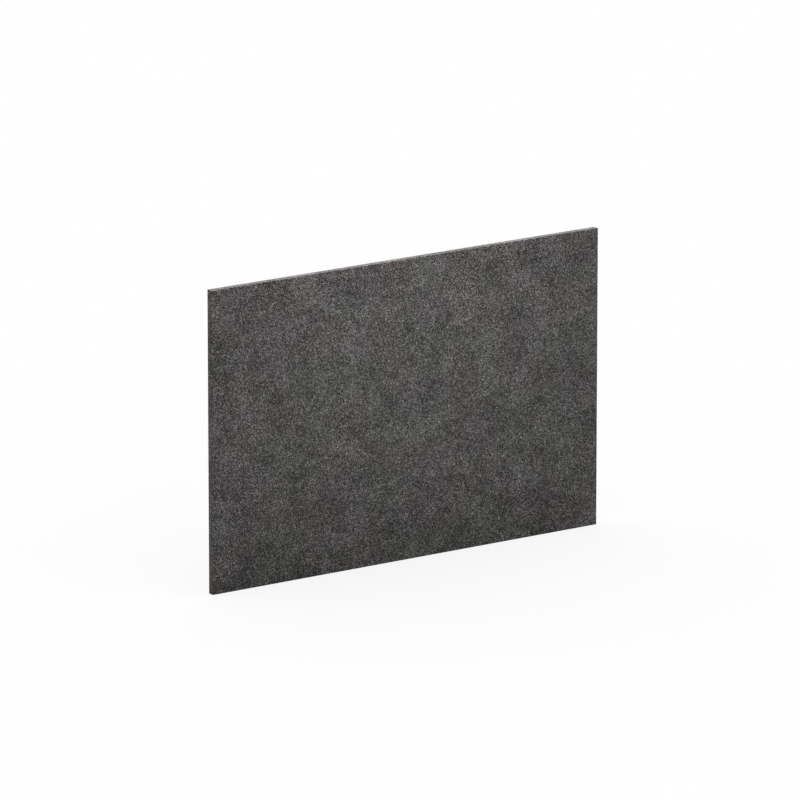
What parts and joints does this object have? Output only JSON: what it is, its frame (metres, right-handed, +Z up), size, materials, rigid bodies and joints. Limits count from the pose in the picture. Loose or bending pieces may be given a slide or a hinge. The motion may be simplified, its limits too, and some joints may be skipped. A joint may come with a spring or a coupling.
{
  "type": "felt acoustic panel",
  "caption": "Thin rectangular felt-faced panel that stands on its long edge, as a desk divider, pin board or sound absorber.",
  "frame": {"origin": "middle of the bottom edge's underside, which is the bottom centre of the panel's box", "axes": "+X along the panel's width to the right as seen from the front, +Y through the thickness from front to back, +Z up"},
  "size_m": [1.2, 0.018, 0.8],
  "materials": {
    "felt": "matt melange charcoal needle felt",
    "plywood": "sanded birch plywood, unfinished",
    "fleece": "matt off-white polyester fleece",
    "dowel": "smooth beech",
    "insert": "turned brass"
  },
  "bodies": {
    "root": {"back_felt": "felt", "bottom_rail": "plywood", "dowel_bottom_left_1": "dowel", "dowel_bottom_left_2": "dowel", "dowel_bottom_right_1": "dowel", "dowel_bottom_right_2": "dowel", "dowel_mullion_1_bottom": "dowel", "dowel_mullion_1_top": "dowel", "dowel_mullion_2_bottom": "dowel", "dowel_mullion_2_top": "dowel", "dowel_top_left_1": "dowel", "dowel_top_left_2": "dowel", "dowel_top_right_1": "dowel", "dowel_top_right_2": "dowel", "edge_felt_bottom": "felt", "edge_felt_left": "felt", "edge_felt_right": "felt", "edge_felt_top": "felt", "fleece_pad_1": "fleece", "fleece_pad_2": "fleece", "fleece_pad_3": "fleece", "front_felt": "felt", "insert_left_1": "insert", "insert_left_2": "insert", "insert_right_1": "insert", "insert_right_2": "insert", "left_stile": "plywood", "mullion_1": "plywood", "mullion_2": "plywood", "right_stile": "plywood", "top_rail": "plywood"}
  },
  "joints": []
}
